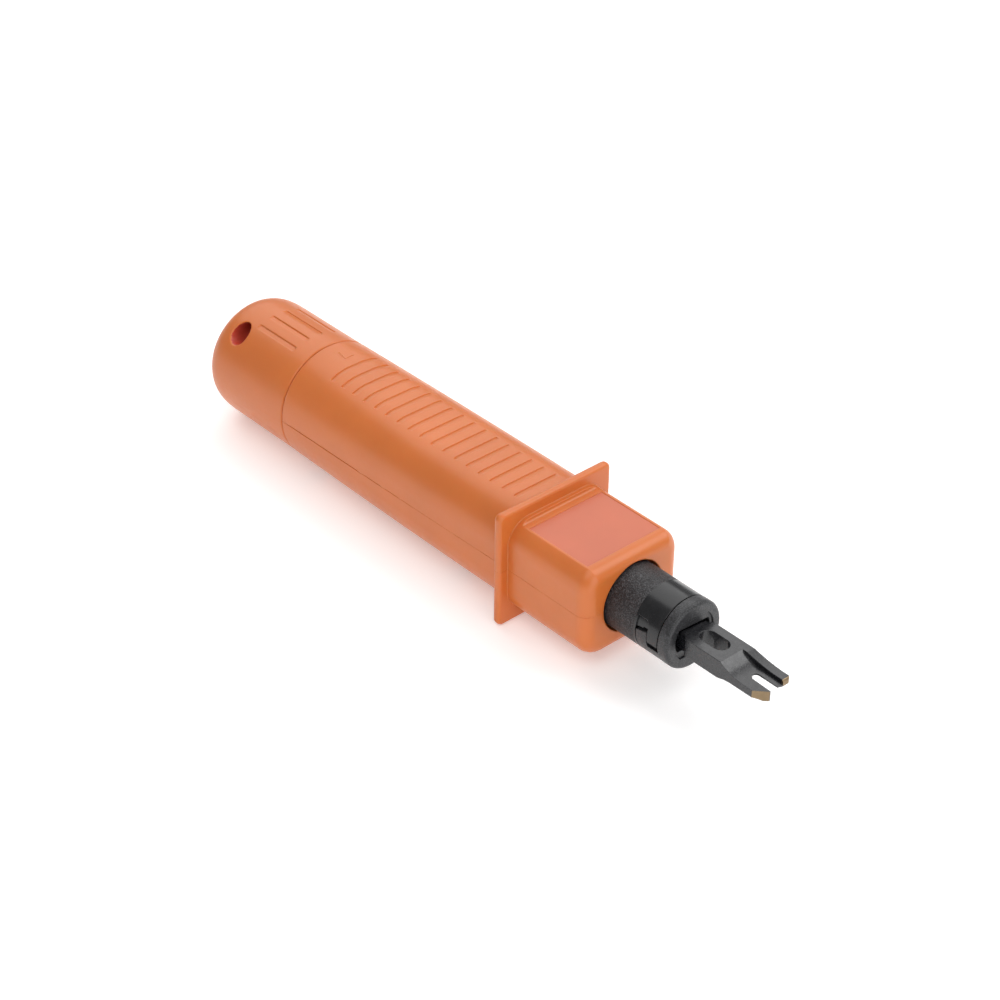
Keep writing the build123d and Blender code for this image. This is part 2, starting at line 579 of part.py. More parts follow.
os.makedirs("parts", exist_ok=True)
upper_shell, lower_shell = casing_halves()
export("upper_shell", upper_shell)
export("lower_shell", lower_shell)
export("casing_screws", selftapping_screws())
export("sear_ramp", sear_ramp())
export("bumper_ring", bumper_ring())
export("web_washer", web_washer())
export("tail_cap", tail_cap())
export("cap_seal", seal_ring())
export("adjuster_screw", adjuster_screw())
export("adjuster_nut", adjuster_nut())
export("nut_washer", nut_washer())
export("main_spring", coil(*MAIN_SPRING, NUT[1] + WASHER_T, HAMMER[0]))
export("hammer", hammer())
export("sear", sear())
export("sear_spring", sear_spring())
export("return_spring", coil(*RETURN_SPRING, WEB[1] + WASHER_T, BARREL_REAR))
export("plunger_rod", plunger_rod())
export("barrel_sleeve", barrel_sleeve())
export("barrel_pin", barrel_pin())
export("blade_holder", blade_holder())
export("barrel_collar", barrel_collar())
export("blade_latch", blade_latch())
export("blade", blade())
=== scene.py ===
"""Looks of the punch down tool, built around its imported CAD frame.

The moulded pieces are drawn as signed distance fields in the tool's own millimetres: the axis
is X, the blade points to +X and the rear face of the hand flange is at x = 0. A field is
negative inside a piece, so a rounded edge is one call. `mesh_from` turns a field into a closed
mesh, moves its points onto the field's zero level and takes its normals from the slope there.
"""
import json
import math

import bpy
import numpy as np
from mathutils import Matrix, Vector


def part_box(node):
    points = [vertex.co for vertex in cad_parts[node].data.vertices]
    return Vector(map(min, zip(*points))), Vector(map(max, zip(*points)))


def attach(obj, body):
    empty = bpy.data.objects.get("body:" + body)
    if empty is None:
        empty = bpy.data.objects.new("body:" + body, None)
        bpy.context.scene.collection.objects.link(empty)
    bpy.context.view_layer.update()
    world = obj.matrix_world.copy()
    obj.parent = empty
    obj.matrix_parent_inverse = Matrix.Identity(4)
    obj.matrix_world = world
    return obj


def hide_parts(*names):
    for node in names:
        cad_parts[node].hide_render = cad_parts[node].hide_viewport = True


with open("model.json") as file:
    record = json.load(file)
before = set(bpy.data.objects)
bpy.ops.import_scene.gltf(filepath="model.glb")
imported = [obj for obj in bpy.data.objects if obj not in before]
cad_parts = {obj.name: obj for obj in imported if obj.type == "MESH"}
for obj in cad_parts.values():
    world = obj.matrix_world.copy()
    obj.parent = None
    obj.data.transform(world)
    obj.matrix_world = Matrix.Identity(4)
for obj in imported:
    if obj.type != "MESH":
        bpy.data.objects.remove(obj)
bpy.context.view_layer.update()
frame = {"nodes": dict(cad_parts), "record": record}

MM = 0.001
BODY_REAR = -69.9
AXIS = (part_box("tail_cap")[0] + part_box("tail_cap")[1]) / 2
ORIGIN = Vector((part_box("upper_shell")[0].x - BODY_REAR * MM, 0, AXIS.z))

# ---- camera, light and floor ----
CAMERA_AT = ORIGIN + Vector((0.28876, -0.27475, 0.28827))
AZIMUTH, ELEVATION, ROLL = 47.84, 34.95, 0.72
LENS, SENSOR = 88.2, 36
LAMPS = (  # name, place from the tool, width, power
    ("back_softbox", (-0.557, 0.321, 0.766), 1.2, 5.7),
    ("overhead", (0.2, -0.5, 0.85), 0.8, 3.3),
    ("right_softbox", (0.35, 0.58, 0.74), 0.7, 4.0),
    ("front_fill", (0.9, -0.1, 0.3), 0.8, 3.2),
)
WORLD_LIGHT = 0.35
FLOOR_SIZE, FLOOR_GLOW = 60, 0.28

# ---- casing ----
FLANGE_HALF, FLANGE_T, FLANGE_CORNER, FLANGE_EDGE = (15.0, 13.4), 1.9, 1.4, 0.8
FLANGE_MIDDLE = 1.0
NOSE_HALF, NOSE_CORNER, NOSE_FRONT, NOSE_ROUND = (12.75, 10.8), 5.4, 24.3, 2.9
PANEL_Z, PANEL_SINK, PANEL_HALF_Y = 10.05, 0.12, 9.72
PANEL_WALL_X, PANEL_WALL_R, PANEL_X = 2.85, 0.6, (4.7, 21.2)
GRIP_SPAN = 70.0
# The grip's section at the flange, midway and at the rear.
GRIP_HALF_Y, GRIP_HALF_Z = (12.7, 13.3, 13.6), (11.9, 11.9, 13.6)
GRIP_CORNER = (8.2, 9.3, 13.5)
RIBS, RIB_FIRST, RIB_LAST = 17, -61.15, -4.1
RIB_LEN, RIB_DEPTH, RIB_HALF_Y, RIB_MID_Y = 1.2, 0.25, (6.4, 5.6), -0.4
RIB_PITCH = (RIB_LAST - RIB_FIRST) / (RIBS - 1)
# Two strokes of the index tick, in plan.
TICK = (((-63.8, -0.6), (-66.4, -0.2)), ((-63.8, -0.6), (-63.9, 1.7)))
TICK_HALF_W, TICK_DEPTH = 0.13, 0.09
MOUTH_R, MOUTH_DEPTH = 7.8, 3.0
PARTING = 0.01
# Radius, start and end of each stretch of the casing's bore, then the screws' x, y and seat.
CASING_BORES = ((7.41, -0.1, 24.3), (8.66, -13.2, 0), (6.8, -20, -12.2), (3.06, -23, -19),
                (8.06, -62.4, -22), (7.26, -66.5, -61.4), (6.26, -68.1, -66.5),
                (7.26, -71, -68.1))
SCREW_SPOTS = ((-16.6, 8.6, -8.5), (-64.3, 8.4, -8.0))
SCREW_RECESS_R = 1.8

# ---- end cap ----
CAP_R, CAP_FACE, CAP_STRAIGHT_END, CAP_TIP = 13.6, -70.05, -88.7, -99.2
CAP_POWER_X, CAP_POWER_R = 4.7, 3.6
FLUTE_ANGLES, FLUTE_X = (-25.0, -9.5, 6.0, 21.5), (-87.7, -75.0)
FLUTE_W, FLUTE_DEPTH = 1.15, 0.3
LANYARD_X, LANYARD_MIDDLE, LANYARD_R, LANYARD_TILT = -90.6, (1.73, 8.13), 2.25, 12.0
CAP_NECK_R, CAP_NECK_END = 7.2, -63.7
SEAL_GROOVE_R, SEAL_GROOVE_X = 6.2, (-68.2, -66.4)
CAP_POCKET_R, CAP_POCKET_END = (7.8, 11.6), -86.0
CAP_OVERLAP, DOME_LEAST_SLOPE = 1.0, 0.02

# ---- barrel, collar and blade ----
BARREL_R, BARREL_X, TEXTURE_END = 7.35, (-3.2, 38.15), 31.7
SHOULDER_R, SHOULDER_END = 8.6, -1.25
FRONT_BORE_R, FRONT_BORE_START = 5.65, 8.0
ROD_HOLE_R, ROD_HOLE_END = 3.0, 9.0
COLLAR_R, COLLAR_X, COLLAR_ROUND = 7.4, (38.35, 40.9), 0.8
# Radius and flat of the collar's opening, outside and inside its step.
SLOT_OUTER, SLOT_INNER, SLOT_STEP, SLOT_TURN = (5.3, 4.0), (4.6, 2.5), 0.35, -4.0
WINDOW_X, WINDOW_BOTTOM, RECESS_TOP, RECESS_DEPTH = (32.35, 35.4), -5.0, 3.2, 0.3
RECESS_ROUND, WINDOW_FLOOR_R = 1.0, 5.0
# Tops of the head and the neck, of the opening and of the lug inside it.
WINDOW_TOPS, LUG_TOPS, LUG_GAP = (1.3, -1.1), (0.8, -2.2), 0.1
WINDOW_SLANT, WINDOW_SLANT_FROM, WINDOW_OVERRUN = 0.2, 1.5, 0.1
LUG_INNER_R, LUG_SINK = 5.67, 0.02
# The blade's sizes in x are from its own middle.
BLADE_MID, BLADE_HALF = 37.1, (25.0, 3.96, 2.07)
TIP_X = BLADE_MID + BLADE_HALF[0]
WAIST_HALF_Y, WAIST_HALF_X = 3.05, 4.25
NOTCH_HALF_X, NOTCH_Z, NOTCH_SLANT = 3.4, 1.4, 0.13
EYE_X, EYE_HALF_Y = (5.75, 12.5), 1.8
RAMP_EDGE, RAMP_FOOT, FORK_TIP_Z = 14.1, (15.6, 0.56), 0.14
RAIL_FOOT, RAIL_TIP_Z = (16.5, 0.93), 0.97
RAMP_FILLET, RAIL_FILLET, PAST_TIP = 2.4, 3.0, 1.0
RAIL_Y, GROOVE_Y, GROOVE_DEPTH, GROOVE_SETBACK = 2.0, 1.6, 0.25, 0.4
FORK_SLOT_REAR, FORK_SLOT_Y, FORK_SLOT_HALF, FORK_SLOT_OVERRUN = 19.55, -0.45, 0.9, 9.0
CORNER_X, CORNER_Z, CORNER_Y = (13.6, 15.5, 17.2), (-2.07, -1.53, -1.25), 2.4
RELIEF_X, RELIEF_SLOPE = 17.0, 0.333
TOE_X, TOE_Z, TIP_ROUND = 23.6, -0.5, 0.6
BEVEL_LEN = 2.3
BARE_RAIL_LEN, BARE_RAIL_LEAN = 0.55, 0.25
DIAGONAL = math.sqrt(0.5)

# ---- meshes: how fine, how far points move, and how near a face counts as part of a field ----
QUICK_COARSER, LEAST_STEP = 1.8, 0.01
SETTLE_ROUNDS, SETTLE_MOST, LEAST_STEEP = 3, 0.2, 0.2
PANEL_NEAR, BORE_NEAR, BEVEL_NEAR, BARREL_SKIN = 0.02, 0.03, 0.08, 0.2
CORNERS = [(i, j, k) for i in (0, 1) for j in (0, 1) for k in (0, 1)]


# ---- signed distance fields, in millimetres ----

def length(a, b):
    return np.sqrt(a * a + b * b)


def join(a, b, fillet=0.0):
    """Both regions, with a filleted corner where they meet."""
    if fillet == 0:
        return np.minimum(a, b)
    near = length(np.maximum(fillet - a, 0), np.maximum(fillet - b, 0))
    return np.maximum(fillet, np.minimum(a, b)) - near


def meet(a, b, edge=0.0):
    """What two regions share, with its edge rounded."""
    if edge == 0:
        return np.maximum(a, b)
    near = length(np.maximum(edge + a, 0), np.maximum(edge + b, 0))
    return np.minimum(-edge, np.maximum(a, b)) + near


def cut(a, b, edge=0.0):
    """The first region without the second, with its edge rounded."""
    return meet(a, -b, edge)


def between(v, low, high):
    return np.maximum(low - v, v - high)


def rounded(y, z, half_y, half_z, corner):
    """Rectangle with rounded corners, across the tool."""
    a, b = np.abs(y) - half_y + corner, np.abs(z) - half_z + corner
    outside = length(np.maximum(a, 0), np.maximum(b, 0))
    return outside + np.minimum(np.maximum(a, b), 0) - corner


def segment(x, y, start, end):
    """Distance from a line between two points, in plan."""
    dx, dy = end[0] - start[0], end[1] - start[1]
    along = np.clip(((x - start[0]) * dx + (y - start[1]) * dy) / (dx * dx + dy * dy), 0, 1)
    return length(x - start[0] - along * dx, y - start[1] - along * dy)


def grip(x, y, z):
    """Handle with its ribs and index tick; its section follows a quadratic along the tool."""
    s = np.clip(-x / GRIP_SPAN, 0, 1)
    weights = 2 * (s - 0.5) * (s - 1), -4 * s * (s - 1), 2 * s * (s - 0.5)
    half_y, half_z, corner = (sum(v * w for v, w in zip(values, weights))
                              for values in (GRIP_HALF_Y, GRIP_HALF_Z, GRIP_CORNER))
    skin = rounded(y, z, half_y, half_z, corner)
    number = np.clip(np.round((x - RIB_FIRST - RIB_LEN / 2) / RIB_PITCH), 0, RIBS - 1)
    along = x - RIB_FIRST - number * RIB_PITCH
    half_len = RIB_HALF_Y[0] + (RIB_HALF_Y[1] - RIB_HALF_Y[0]) * number / (RIBS - 1)
    floor = skin + RIB_DEPTH * (1 - np.clip(along / RIB_LEN, 0, 1))
    wedge = meet(-floor, between(along, 0, RIB_LEN), edge=0.1)
    body = cut(skin, meet(wedge, np.abs(y - RIB_MID_Y) - half_len, edge=0.3), edge=0.12)
    tick = np.minimum(segment(x, y, *TICK[0]), segment(x, y, *TICK[1])) - TICK_HALF_W
    tick = np.maximum(tick, np.maximum(-skin - TICK_DEPTH, -z))
    return meet(cut(body, tick, edge=0.05), BODY_REAR - x, edge=0.4)


def flange(x, y, z):
    plate = rounded(y, z, *FLANGE_HALF, FLANGE_CORNER)
    return meet(plate, between(x, 0, FLANGE_T), FLANGE_EDGE)


def nose(x, y, z):
    """Square nose with the step behind its polished panel."""
    block = rounded(y, z, *NOSE_HALF, NOSE_CORNER)
    block = cut(block, meet(PANEL_Z - z, PANEL_WALL_X - x, PANEL_WALL_R), edge=0.08)
    block = meet(block, x - NOSE_FRONT, NOSE_ROUND)
    pocket = np.maximum(between(x, *PANEL_X), np.abs(y) - PANEL_HALF_Y)
    return cut(block, np.maximum(pocket, PANEL_Z - PANEL_SINK - z), edge=0.03)


def casing(x, y, z):
    """Both shells in one: outside, bores and screw recesses."""
    radius = length(y, z)
    solid = join(np.maximum(grip(x, y, z), x - FLANGE_MIDDLE), flange(x, y, z), fillet=0.25)
    solid = join(solid, np.maximum(nose(x, y, z), FLANGE_MIDDLE - x), fillet=0.2)
    solid = cut(solid, np.maximum(radius - MOUTH_R, NOSE_FRONT - MOUTH_DEPTH - x), edge=0.3)
    for bore, start, end in CASING_BORES:
        solid = cut(solid, np.maximum(radius - bore, between(x, start, end)))
    for at_x, at_y, seat in SCREW_SPOTS:
        recess = length(x - at_x, np.abs(y) - at_y) - SCREW_RECESS_R
        solid = cut(solid, np.maximum(recess, z - seat), edge=0.15)
    return solid


def upper_shell(x, y, z):
    return meet(casing(x, y, z), PARTING - z, edge=0.05)


def lower_shell(x, y, z):
    return meet(casing(x, y, z), z + PARTING, edge=0.05)


def lanyard_hole(x, y, z):
    """Hole across the cap, falling toward +Y."""
    tilt = math.radians(LANYARD_TILT)
    across = (y - LANYARD_MIDDLE[0]) * math.sin(tilt) + (z - LANYARD_MIDDLE[1]) * math.cos(tilt)
    return length(x - LANYARD_X, across) - LANYARD_R


def tail_cap(x, y, z):
    """Domed end cap with flutes, its neck and the pocket round the neck."""
    radius = length(y, z)
    u = np.maximum(CAP_STRAIGHT_END - x, 0) / (CAP_STRAIGHT_END - CAP_TIP)
    v = radius / CAP_R
    level = u ** CAP_POWER_X + v ** CAP_POWER_R - 1
    slope = length(CAP_POWER_X * u ** (CAP_POWER_X - 1) / (CAP_STRAIGHT_END - CAP_TIP),
                   CAP_POWER_R * v ** (CAP_POWER_R - 1) / CAP_R)
    dome = level / np.maximum(slope, DOME_LEAST_SLOPE)
    turned = np.arctan2(-y * np.sign(z), np.abs(z))
    for angle in FLUTE_ANGLES:
        around = (turned - math.radians(angle)) * CAP_R
        floor = dome + FLUTE_DEPTH * (1 - np.clip(around / FLUTE_W, 0, 1))
        wedge = meet(-floor, between(around, 0, FLUTE_W), edge=0.13)
        dome = cut(dome, meet(wedge, between(x, *FLUTE_X), edge=0.35), edge=0.22)
    dome = cut(dome, lanyard_hole(x, y, z), edge=0.35)
    dome = meet(dome, x - CAP_FACE, edge=0.45)
    neck = np.maximum(radius - CAP_NECK_R, between(x, CAP_FACE - CAP_OVERLAP, CAP_NECK_END))
    neck = cut(neck, np.maximum(SEAL_GROOVE_R - radius, between(x, *SEAL_GROOVE_X)))
    pocket = np.maximum(between(radius, *CAP_POCKET_R),
                        between(x, CAP_POCKET_END, CAP_FACE + CAP_OVERLAP))
    return cut(join(dome, neck), pocket)


def bayonet(x, up, gap, tops):
    """Head and neck of the opening in the barrel's wall, or of the smaller lug inside it."""
    slant = WINDOW_SLANT * (x - WINDOW_X[0] - WINDOW_SLANT_FROM)
    head = np.maximum(between(x, WINDOW_X[0] + gap, WINDOW_X[1] - gap),
                      between(up, WINDOW_BOTTOM + gap, tops[0] + slant))
    neck = np.maximum(between(x, WINDOW_X[0] + gap, COLLAR_X[0] + WINDOW_OVERRUN),
                      between(up, WINDOW_BOTTOM + gap, tops[1]))
    return np.minimum(head, neck)


def barrel_sleeve(x, y, z):
    """Plunger barrel: shouldered tube with a bayonet opening on both sides."""
    radius = length(y, z)
    up = -z * np.copysign(1, y)
    tube = meet(radius - BARREL_R, between(x, *BARREL_X), edge=0.12)
    solid = join(tube, np.maximum(radius - SHOULDER_R, between(x, BARREL_X[0], SHOULDER_END)))
    solid = cut(solid, np.maximum(radius - FRONT_BORE_R, FRONT_BORE_START - x))
    solid = cut(solid, np.maximum(radius - ROD_HOLE_R, x - ROD_HOLE_END))
    window = np.maximum(bayonet(x, up, 0, WINDOW_TOPS), WINDOW_FLOOR_R - radius)
    solid = cut(solid, window, edge=0.06)
    recess = meet(x - WINDOW_X[1], up - RECESS_TOP, RECESS_ROUND)
    recess = np.maximum(recess, np.maximum(WINDOW_X[0] - x, -up))
    return cut(solid, np.maximum(recess, BARREL_R - RECESS_DEPTH - radius), edge=0.05)


def double_d(y, z, size):
    """Round opening with two flats."""
    radius, flat = size
    return np.maximum(length(y, z) - radius, np.abs(z) - flat)


def barrel_collar(x, y, z):
    """Front collar with a stepped opening, and the lugs behind it."""
    radius = length(y, z)
    ring = meet(radius - COLLAR_R, x - COLLAR_X[1], COLLAR_ROUND)
    ring = meet(ring, COLLAR_X[0] - x, edge=0.12)
    turn = math.radians(SLOT_TURN)
    turned_y, turned_z = (y * math.cos(turn) + z * math.sin(turn),
                          z * math.cos(turn) - y * math.sin(turn))
    ring = cut(ring, double_d(turned_y, turned_z, SLOT_INNER), edge=0.12)
    step = np.maximum(double_d(y, z, SLOT_OUTER), COLLAR_X[1] - SLOT_STEP - x)
    ring = cut(ring, step, edge=0.14)
    lug = bayonet(x, -z * np.copysign(1, y), LUG_GAP, LUG_TOPS)
    return join(ring, meet(between(radius, LUG_INNER_R, BARREL_R - LUG_SINK), lug, edge=0.05))


def above(x, z, edge_x, foot, tip_z, fillet):
    """Region over a steep ramp and the gentle slope from its foot to just past the tip."""
    ramp_x, ramp_z = foot[0] - edge_x, foot[1] - BLADE_HALF[2]
    size = math.hypot(ramp_x, ramp_z)
    ramp = ((x - edge_x) * ramp_z - (z - BLADE_HALF[2]) * ramp_x) / size
    slope = (tip_z - foot[1]) / (BLADE_HALF[0] + PAST_TIP - foot[0])
    floor = (foot[1] + slope * (x - foot[0]) - z) / math.hypot(1, slope)
    return meet(ramp, floor, fillet)


def beyond(a, b, start, end):
    """Distance past the line through two points, on its left side, seen along the third axis."""
    da, db = end[0] - start[0], end[1] - start[1]
    return ((b - start[1]) * da - (a - start[0]) * db) / math.hypot(da, db)


def fork_underside(x, y, z):
    """Region under the fork: both lower corners, the relief of the slot and the toe."""
    rise = z - np.interp(x, CORNER_X, CORNER_Z)
    corner = beyond(np.abs(y), z, (CORNER_Y, -BLADE_HALF[2]), (BLADE_HALF[1], CORNER_Z[2]))
    corners = meet(rise, corner, edge=0.3)
    ramp = beyond(x, z, (RELIEF_X, -BLADE_HALF[2]), (FORK_SLOT_REAR, 0))
    right = FORK_SLOT_Y + FORK_SLOT_HALF
    across = z + RELIEF_SLOPE * np.maximum(y - right, 0)
    relief = np.maximum(np.maximum(ramp, across), FORK_SLOT_Y - y)
    toe = beyond(x, z, (TOE_X, CORNER_Z[2]), (BLADE_HALF[0], TOE_Z))
    return np.minimum(np.minimum(corners, relief), np.maximum(toe, right - y))


def fork(x, y, z, ground):
    """Half of the blade, from mid length, with the cutting prong at -Y if it is ground."""
    length_x, half_y, half_z = BLADE_HALF
    solid = meet(np.abs(y) - half_y, np.abs(z) - half_z, edge=0.15)
    solid = cut(solid, above(x, z, RAMP_EDGE, RAIL_FOOT, RAIL_TIP_Z, RAIL_FILLET), edge=0.08)
    rail = meet(x - length_x, solid, TIP_ROUND)
    solid = np.where(y > 0, rail, meet(solid, x - length_x, edge=0.04))
    ramp = above(x, z, RAMP_EDGE, RAMP_FOOT, FORK_TIP_Z, RAMP_FILLET)
    solid = cut(solid, np.maximum(ramp, y - RAIL_Y), edge=0.06)
    groove = above(x, z + GROOVE_DEPTH, RAMP_EDGE + GROOVE_SETBACK, RAMP_FOOT, FORK_TIP_Z,
                   RAMP_FILLET)
    solid = cut(solid, np.maximum(groove, between(y, GROOVE_Y, RAIL_Y)), edge=0.02)
    eye = segment(x, y, (EYE_X[0] + EYE_HALF_Y, 0), (EYE_X[1] - EYE_HALF_Y, 0)) - EYE_HALF_Y
    solid = cut(solid, eye, edge=0.1)
    slot = segment(x, y, (FORK_SLOT_REAR + FORK_SLOT_HALF, FORK_SLOT_Y),
                   (length_x + FORK_SLOT_OVERRUN, FORK_SLOT_Y)) - FORK_SLOT_HALF
    solid = cut(solid, slot, edge=0.04)
    if ground:
        solid = meet(solid, (x - length_x + BEVEL_LEN - y - half_y) * DIAGONAL, edge=0.04)
    solid = cut(solid, fork_underside(x, y, z), edge=0.05)
    sideways = np.abs(y) - WAIST_HALF_Y
    shoulder = (sideways - x + WAIST_HALF_X) * DIAGONAL
    solid = meet(solid, np.minimum(sideways, shoulder), edge=0.1)
    notch_end = NOTCH_HALF_X + NOTCH_SLANT * y * (1 if ground else -1)
    return cut(solid, np.maximum(NOTCH_Z - z, x - notch_end), edge=0.05)


def blade(x, y, z):
    """Reversible blade: a ground fork in front and the same fork, not ground, behind."""
    front = fork(x - BLADE_MID, y, z, True)
    rear = fork(BLADE_MID - x, -y, z, False)
    return np.where(x > BLADE_MID, front, rear)


# ---- faces that have a piece's second material ----

def on_panel(x, y, z):
    level = np.abs(z - PANEL_Z + PANEL_SINK) < PANEL_NEAR
    return level & (between(x, *PANEL_X) < 0) & (np.abs(y) < PANEL_HALF_Y)


# Faces inside the lanyard hole, which get a darker red: painted shade of the hole's depths.
def painted_shade_in_lanyard_hole(x, y, z):
    return lanyard_hole(x, y, z) < BORE_NEAR


def on_smooth_barrel(x, y, z):
    return (x > TEXTURE_END) | (length(y, z) < BARREL_R - BARREL_SKIN)


def on_bare_steel(x, y, z):
    """The cutting prong's ground bevel and the end of the rail prong."""
    bevel = np.abs(x - TIP_X + BEVEL_LEN - y - BLADE_HALF[1]) < BEVEL_NEAR
    rail = x - BARE_RAIL_LEAN * z > TIP_X - BARE_RAIL_LEN
    return ((y < FORK_SLOT_Y) & bevel) | ((y > RAIL_Y) & rail)


# ---- fields to meshes ----

def spacing(low, high, coarse, zones=()):
    """Grid lines from low to high, closer together inside each (start, end, step) zone."""
    coarse *= 1
    lines = [low]
    while lines[-1] < high:
        here = lines[-1]
        step = coarse
        for start, end, fine in zones:
            if start <= here < end:
                step = min(step, fine)
            elif here < start < here + step:
                step = start - here
        lines.append(here + max(step, LEAST_STEP))
    return np.array(lines)


def slopes(field, points, reach=0.01):
    """Gradient of a field at each point."""
    steps = np.eye(3) * reach
    return np.stack([(field(*(points + s).T) - field(*(points - s).T)) / (2 * reach)
                     for s in steps], axis=1)


def mixed_cells(inside):
    """Indices of the cells that have corners on both sides."""
    nx, ny, nz = (n - 1 for n in inside.shape)
    count = sum(inside[i:i + nx, j:j + ny, k:k + nz].astype(np.int8) for i, j, k in CORNERS)
    return np.argwhere((count > 0) & (count < len(CORNERS)))


def crossing_points(value, axes, cells):
    """Mean of the places where each cell's edges cross the zero level."""
    place, hits = np.zeros((len(cells), 3)), np.zeros(len(cells))
    for start in CORNERS:
        for axis in range(3):
            if start[axis]:
                continue
            end = tuple(v + (n == axis) for n, v in enumerate(start))
            one, two = cells + start, cells + end
            v1, v2 = value[tuple(one.T)], value[tuple(two.T)]
            crossed = (v1 < 0) != (v2 < 0)
            share = np.where(crossed, v1 / np.where(crossed, v1 - v2, 1), 0)
            p1 = np.stack([axes[n][one[:, n]] for n in range(3)], axis=1)
            p2 = np.stack([axes[n][two[:, n]] for n in range(3)], axis=1)
            place += np.where(crossed[:, None], p1 + (p2 - p1) * share[:, None], 0)
            hits += crossed
    return place / hits[:, None]


def quads_between(inside, ids):
    """One outward quad across each grid edge that changes side, from the four cells round it."""
    quads = []
    for axis in range(3):
        low, high = [slice(1, -1)] * 3, [slice(1, -1)] * 3
        low[axis], high[axis] = slice(0, -1), slice(1, None)
        first, second = inside[tuple(low)], inside[tuple(high)]
        at = np.argwhere(first != second)
        outward = first[tuple(at.T)]
        at = at + [int(n != axis) for n in range(3)]
        u, v = np.zeros(3, int), np.zeros(3, int)
        u[(axis + 1) % 3], v[(axis + 2) % 3] = 1, 1
        ring = np.stack([ids[tuple((at - o).T)] for o in (u + v, v, 0 * u, u)], axis=1)
        quads.append(np.where(outward[:, None], ring, ring[:, ::-1]))
    return np.concatenate(quads)


def net(field, axes):
    """Closed quad net over the zero level of a field: one point in each mixed cell."""
    x, y, z = np.meshgrid(*axes, indexing="ij", sparse=True)
    value = np.broadcast_to(field(x, y, z), tuple(len(a) for a in axes))
    inside = value < 0
    cells = mixed_cells(inside)
    ids = np.full([n - 1 for n in inside.shape], -1)
    ids[tuple(cells.T)] = np.arange(len(cells))
    return crossing_points(value, axes, cells), quads_between(inside, ids)


def mesh_from(name, field, axes):
    """Mesh object of a field, with its points moved onto it and its normals taken from it."""
    points, quads = net(field, axes)
    for _ in range(SETTLE_ROUNDS):
        slope = slopes(field, points)
        steep = np.maximum((slope ** 2).sum(1), LEAST_STEEP)
        off = np.clip(field(*points.T), -SETTLE_MOST, SETTLE_MOST)
        points = points - slope * (off / steep)[:, None]
    normals = slopes(field, points)
    normals /= np.maximum(np.linalg.norm(normals, axis=1), 1e-6)[:, None]
    mesh = bpy.data.meshes.new(name)
    mesh.from_pydata((points * MM + np.array(ORIGIN)).tolist(), [], quads.tolist())
    mesh.polygons.foreach_set("use_smooth", np.ones(len(quads), bool))
    mesh.update()
    mesh.normals_split_custom_set_from_vertices(normals.tolist())
    piece = bpy.data.objects.new(name, mesh)
    bpy.context.scene.collection.objects.link(piece)
    print(name, len(points), "points")
    return piece


def show(node, field, axes, *materials):
    """Puts a detailed piece in a CAD node's place."""
    piece = mesh_from(node + "_look", field, axes)
    for material in materials:
        piece.data.materials.append(material)
    body = next(b for b, nodes in frame["record"]["behaviour"]["bodies"].items() if node in nodes)
    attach(piece, body)
    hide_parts(node)
    return piece


def paint(piece, index, chosen):
    """Gives the faces whose centre, in millimetres, is chosen another material of the piece."""
    polygons = piece.data.polygons
    centre = np.zeros(len(polygons) * 3)
    polygons.foreach_get("center", centre)
    x, y, z = ((centre.reshape(-1, 3) - np.array(ORIGIN)) / MM).T
    indices = np.zeros(len(polygons), int)
    polygons.foreach_get("material_index", indices)
    polygons.foreach_set("material_index", np.where(chosen(x, y, z), index, indices))


# ---- materials ----

def new_material(name, color, roughness, specular=0.5):
    """A principled material, and its shader node."""
    material = bpy.data.materials.new(name)
    material.use_nodes = True
    shader = material.node_tree.nodes["Principled BSDF"]
    shader.inputs["Base Color"].default_value = (*color, 1)
    shader.inputs["Roughness"].default_value = roughness
    shader.inputs["Specular IOR Level"].default_value = specular
    return material, shader


def add(material, kind, **values):
    """A new shader node, with the values of its inputs or properties."""
    node = material.node_tree.nodes.new(kind)
    for name, value in values.items():
        if name in node.inputs:
            node.inputs[name].default_value = value
        else:
            setattr(node, name, value)
    return node


def link(material, start, end):
    material.node_tree.links.new(start, end)


def noise(material, scale, detail=3.0, stretch=(1, 1, 1)):
    """Noise in the object's own metres, with scale in features per metre."""
    place = add(material, "ShaderNodeTexCoord")
    mapping = add(material, "ShaderNodeMapping")
    mapping.inputs["Scale"].default_value = stretch
    link(material, place.outputs["Object"], mapping.inputs["Vector"])
    texture = add(material, "ShaderNodeTexNoise", Scale=scale, Detail=detail)
    link(material, mapping.outputs["Vector"], texture.inputs["Vector"])
    return texture.outputs["Fac"]


def color_ramp(material, value, stops):
    """Colour of a value between stops of (position, colour)."""
    node = add(material, "ShaderNodeValToRGB")
    link(material, value, node.inputs["Fac"])
    elements = node.color_ramp.elements
    while len(elements) < len(stops):
        elements.new(0.5)
    for element, (position, color) in zip(elements, stops):
        element.position = position
        element.color = (*color, 1) if len(color) == 3 else color
    return node.outputs["Color"]


def bump(material, shader, height, strength, distance):
    """Bump on top of those that the shader has already; distance in metres."""
    node = add(material, "ShaderNodeBump", Strength=strength, Distance=distance)
    link(material, height, node.inputs["Height"])
    before = shader.inputs["Normal"]
    if before.is_linked:
        link(material, before.links[0].from_socket, node.inputs["Normal"])
    link(material, node.outputs["Normal"], before)


